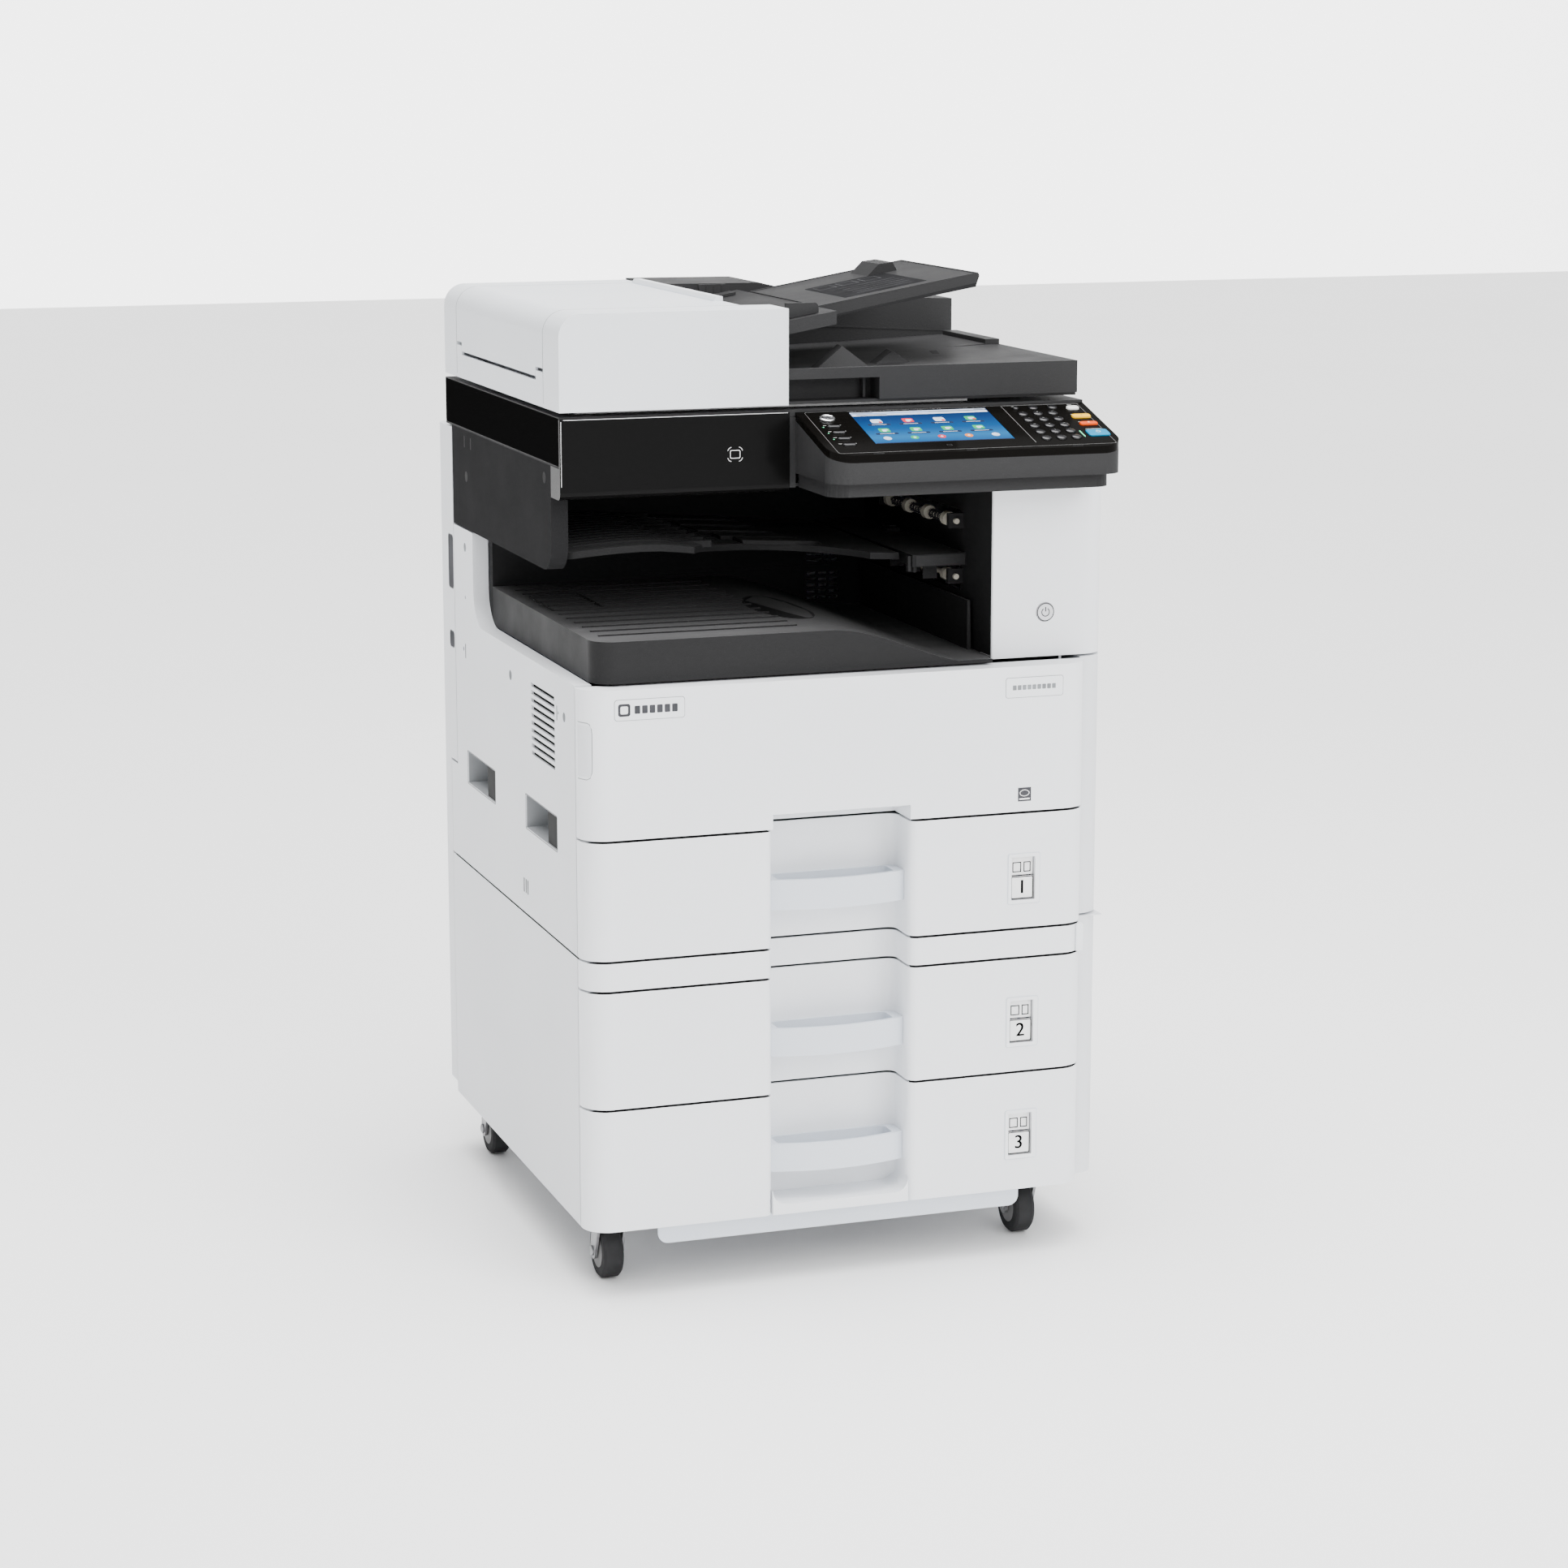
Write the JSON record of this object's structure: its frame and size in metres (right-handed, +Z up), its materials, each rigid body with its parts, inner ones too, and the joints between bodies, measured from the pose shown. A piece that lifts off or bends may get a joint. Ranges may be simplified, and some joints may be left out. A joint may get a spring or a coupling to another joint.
{
  "type": "photocopier",
  "caption": "Floor-standing office copier with paper drawers, side output cavity, tilted touch panel, flatbed scanner, document feeder and casters.",
  "frame": {"origin": "middle of the bounding box on the floor", "axes": "+Z up, -Y towards the user in front, +X to the user's right"},
  "size_m": [0.594, 0.64, 1.0547],
  "materials": {
    "front_white": "fine moulded texture",
    "side_white": "fine moulded texture",
    "handle_grey": "smooth satin",
    "feeder_white": "fine moulded texture",
    "charcoal": "grained",
    "cavity_black": "matt",
    "gloss_black": "high gloss",
    "bezel": "high gloss",
    "screen": "lit display under glass",
    "platen": "clear",
    "pad_white": "soft foam sheet",
    "sheet_steel": "zinc coated",
    "drawer_metal": "satin",
    "caster_steel": "galvanised",
    "caster_black": "matt",
    "roller_grey": "matt",
    "drum_green": "coated",
    "toner_black": "satin",
    "fuser_grey": "satin",
    "key_dark": "satin",
    "key_yellow": "satin",
    "key_orange": "satin",
    "key_cyan": "satin",
    "button_grey": "satin"
  },
  "bodies": {
    "cabinet": {"cabinet_frame": "sheet_steel", "left_cover_lower": "side_white", "left_cover_upper": "side_white", "rear_cover": "side_white", "feeder_band": "front_white", "base_stopper": "handle_grey", "output_tray": "charcoal", "cavity_wall": "cavity_black", "separator_tray": "charcoal", "exit_shelf": "charcoal", "pillar_cover": "front_white", "scanner_side_panel": "charcoal", "scanner_housing": "charcoal", "scanner_front_panel": "gloss_black", "platen_glass": "platen", "panel_housing": "charcoal", "panel_bezel": "bezel", "touch_screen": "screen", "drum_unit": "drum_green", "fuser_unit": "fuser_grey", "toner_bottles": "toner_black"},
    "exit_rollers_upper": {"exit_rollers_upper": "roller_grey"},
    "exit_rollers_lower": {"exit_rollers_lower": "roller_grey"},
    "front_cover": {"front_cover": "front_white"},
    "drawer_1": {"drawer_1_front": "front_white", "drawer_1_handle": "handle_grey", "drawer_1_box": "drawer_metal"},
    "drawer_2": {"drawer_2_front": "front_white", "drawer_2_handle": "handle_grey", "drawer_2_box": "drawer_metal"},
    "drawer_3": {"drawer_3_front": "front_white", "drawer_3_handle": "handle_grey", "drawer_3_box": "drawer_metal"},
    "document_feeder": {"feeder_base": "feeder_white", "feeder_end_caps": "feeder_white", "platen_pad": "pad_white", "feeder_rear_housing": "charcoal", "eject_table": "charcoal"},
    "feeder_top_cover": {"feeder_top_cover": "feeder_white"},
    "document_tray": {"document_tray": "charcoal"},
    "guide_front": {"guide_front": "charcoal"},
    "guide_rear": {"guide_rear": "charcoal"},
    "feed_roller": {"feed_roller": "roller_grey"},
    "right_cover_upper": {"right_cover_upper": "side_white"},
    "right_cover_lower": {"right_cover_lower": "side_white"},
    "bypass_tray": {"bypass_tray": "side_white"},
    "scan_carriage": {"scan_carriage": "fuser_grey"},
    "power_button": {"power_button": "button_grey"},
    "caster_fork_front_left": {"caster_fork_front_left": "caster_steel"},
    "caster_wheel_front_left": {"caster_wheel_front_left": "caster_black"},
    "caster_fork_front_right": {"caster_fork_front_right": "caster_steel"},
    "caster_wheel_front_right": {"caster_wheel_front_right": "caster_black"},
    "caster_fork_rear_left": {"caster_fork_rear_left": "caster_steel"},
    "caster_wheel_rear_left": {"caster_wheel_rear_left": "caster_black"},
    "caster_fork_rear_right": {"caster_fork_rear_right": "caster_steel"},
    "caster_wheel_rear_right": {"caster_wheel_rear_right": "caster_black"},
    "start_key": {"start_key": "key_cyan"},
    "stop_key": {"stop_key": "key_orange"},
    "reset_key": {"reset_key": "key_yellow"},
    "panel_keys": {"panel_keys": "key_dark"}
  },
  "joints": [
    {"name": "drawer_1_slide", "type": "slide", "parent": "cabinet", "child": "drawer_1", "axis": [0, -1, 0], "range_m": [0, 0.38]},
    {"name": "drawer_2_slide", "type": "slide", "parent": "cabinet", "child": "drawer_2", "axis": [0, -1, 0], "range_m": [0, 0.38]},
    {"name": "drawer_3_slide", "type": "slide", "parent": "cabinet", "child": "drawer_3", "axis": [0, -1, 0], "range_m": [0, 0.38]},
    {"name": "front_cover_hinge", "type": "hinge", "parent": "cabinet", "child": "front_cover", "pos_m": [-0.017, -0.2785, 0.504], "axis": [1, 0, 0], "range_deg": [0, 85]},
    {"name": "right_cover_upper_hinge", "type": "hinge", "parent": "cabinet", "child": "right_cover_upper", "pos_m": [0.289, 0.005, 0.3823], "axis": [0, 1, 0], "range_deg": [0, 60]},
    {"name": "right_cover_lower_hinge", "type": "hinge", "parent": "cabinet", "child": "right_cover_lower", "pos_m": [0.289, 0.005, 0.089], "axis": [0, 1, 0], "range_deg": [0, 60]},
    {"name": "bypass_tray_hinge", "type": "hinge", "parent": "right_cover_upper", "child": "bypass_tray", "pos_m": [0.294, 0.015, 0.434], "axis": [0, 1, 0], "range_deg": [0, 80]},
    {"name": "document_feeder_hinge", "type": "hinge", "parent": "cabinet", "child": "document_feeder", "pos_m": [0.073, 0.284, 0.924], "axis": [-1, 0, 0], "range_deg": [0, 60]},
    {"name": "feeder_top_cover_hinge", "type": "hinge", "parent": "document_feeder", "child": "feeder_top_cover", "pos_m": [-0.2895, 0.037, 0.976], "axis": [0, -1, 0], "range_deg": [0, 80]},
    {"name": "document_tray_hinge", "type": "hinge", "parent": "document_feeder", "child": "document_tray", "pos_m": [-0.037, 0.005, 1.0035], "axis": [0, -1, 0], "range_deg": [0, 30]},
    {"name": "guide_front_slide", "type": "slide", "parent": "document_tray", "child": "guide_front", "axis": [0, 1, 0], "range_m": [0, 0.09]},
    {"name": "guide_rear_slide", "type": "slide", "parent": "document_tray", "child": "guide_rear", "axis": [0, 1, 0], "range_m": [-0.09, 0]},
    {"name": "feed_roller_spin", "type": "hinge", "parent": "document_feeder", "child": "feed_roller", "pos_m": [-0.101, 0.035, 1.004], "axis": [0, 1, 0], "continuous": true},
    {"name": "exit_rollers_upper_spin", "type": "hinge", "parent": "cabinet", "child": "exit_rollers_upper", "pos_m": [0.155, -0.053, 0.791], "axis": [0, 1, 0], "continuous": true},
    {"name": "exit_rollers_lower_spin", "type": "hinge", "parent": "cabinet", "child": "exit_rollers_lower", "pos_m": [0.155, -0.053, 0.731], "axis": [0, 1, 0], "continuous": true},
    {"name": "scan_carriage_slide", "type": "slide", "parent": "cabinet", "child": "scan_carriage", "axis": [1, 0, 0], "range_m": [0, 0.385]},
    {"name": "power_button_press", "type": "slide", "parent": "cabinet", "child": "power_button", "axis": [0, 1, 0], "range_m": [0, 0.0015], "stiffness_N_per_m": 600},
    {"name": "start_key_press", "type": "slide", "parent": "cabinet", "child": "start_key", "axis": [0, 0.2756, -0.9613], "range_m": [0, 0.001], "stiffness_N_per_m": 500},
    {"name": "stop_key_press", "type": "slide", "parent": "cabinet", "child": "stop_key", "axis": [0, 0.2756, -0.9613], "range_m": [0, 0.001], "stiffness_N_per_m": 500},
    {"name": "reset_key_press", "type": "slide", "parent": "cabinet", "child": "reset_key", "axis": [0, 0.2756, -0.9613], "range_m": [0, 0.001], "stiffness_N_per_m": 500},
    {"name": "panel_keys_press", "type": "slide", "parent": "cabinet", "child": "panel_keys", "axis": [0, 0.2756, -0.9613], "range_m": [0, 0.001], "stiffness_N_per_m": 500},
    {"name": "caster_swivel_front_left", "type": "hinge", "parent": "cabinet", "child": "caster_fork_front_left", "pos_m": [-0.255, -0.219, 0.066], "axis": [0, 0, 1], "continuous": true},
    {"name": "caster_spin_front_left", "type": "hinge", "parent": "caster_fork_front_left", "child": "caster_wheel_front_left", "pos_m": [-0.255, -0.205, 0.03], "axis": [1, 0, 0], "continuous": true},
    {"name": "caster_swivel_front_right", "type": "hinge", "parent": "cabinet", "child": "caster_fork_front_right", "pos_m": [0.218, -0.219, 0.066], "axis": [0, 0, 1], "continuous": true},
    {"name": "caster_spin_front_right", "type": "hinge", "parent": "caster_fork_front_right", "child": "caster_wheel_front_right", "pos_m": [0.218, -0.205, 0.03], "axis": [1, 0, 0], "continuous": true},
    {"name": "caster_swivel_rear_left", "type": "hinge", "parent": "cabinet", "child": "caster_fork_rear_left", "pos_m": [-0.255, 0.25, 0.066], "axis": [0, 0, 1], "continuous": true},
    {"name": "caster_spin_rear_left", "type": "hinge", "parent": "caster_fork_rear_left", "child": "caster_wheel_rear_left", "pos_m": [-0.255, 0.264, 0.03], "axis": [1, 0, 0], "continuous": true},
    {"name": "caster_swivel_rear_right", "type": "hinge", "parent": "cabinet", "child": "caster_fork_rear_right", "pos_m": [0.218, 0.25, 0.066], "axis": [0, 0, 1], "continuous": true},
    {"name": "caster_spin_rear_right", "type": "hinge", "parent": "caster_fork_rear_right", "child": "caster_wheel_rear_right", "pos_m": [0.218, 0.264, 0.03], "axis": [1, 0, 0], "continuous": true}
  ],
  "couplings": [
    {"joint": "guide_rear_slide", "follows": "guide_front_slide", "ratio": -1}
  ]
}
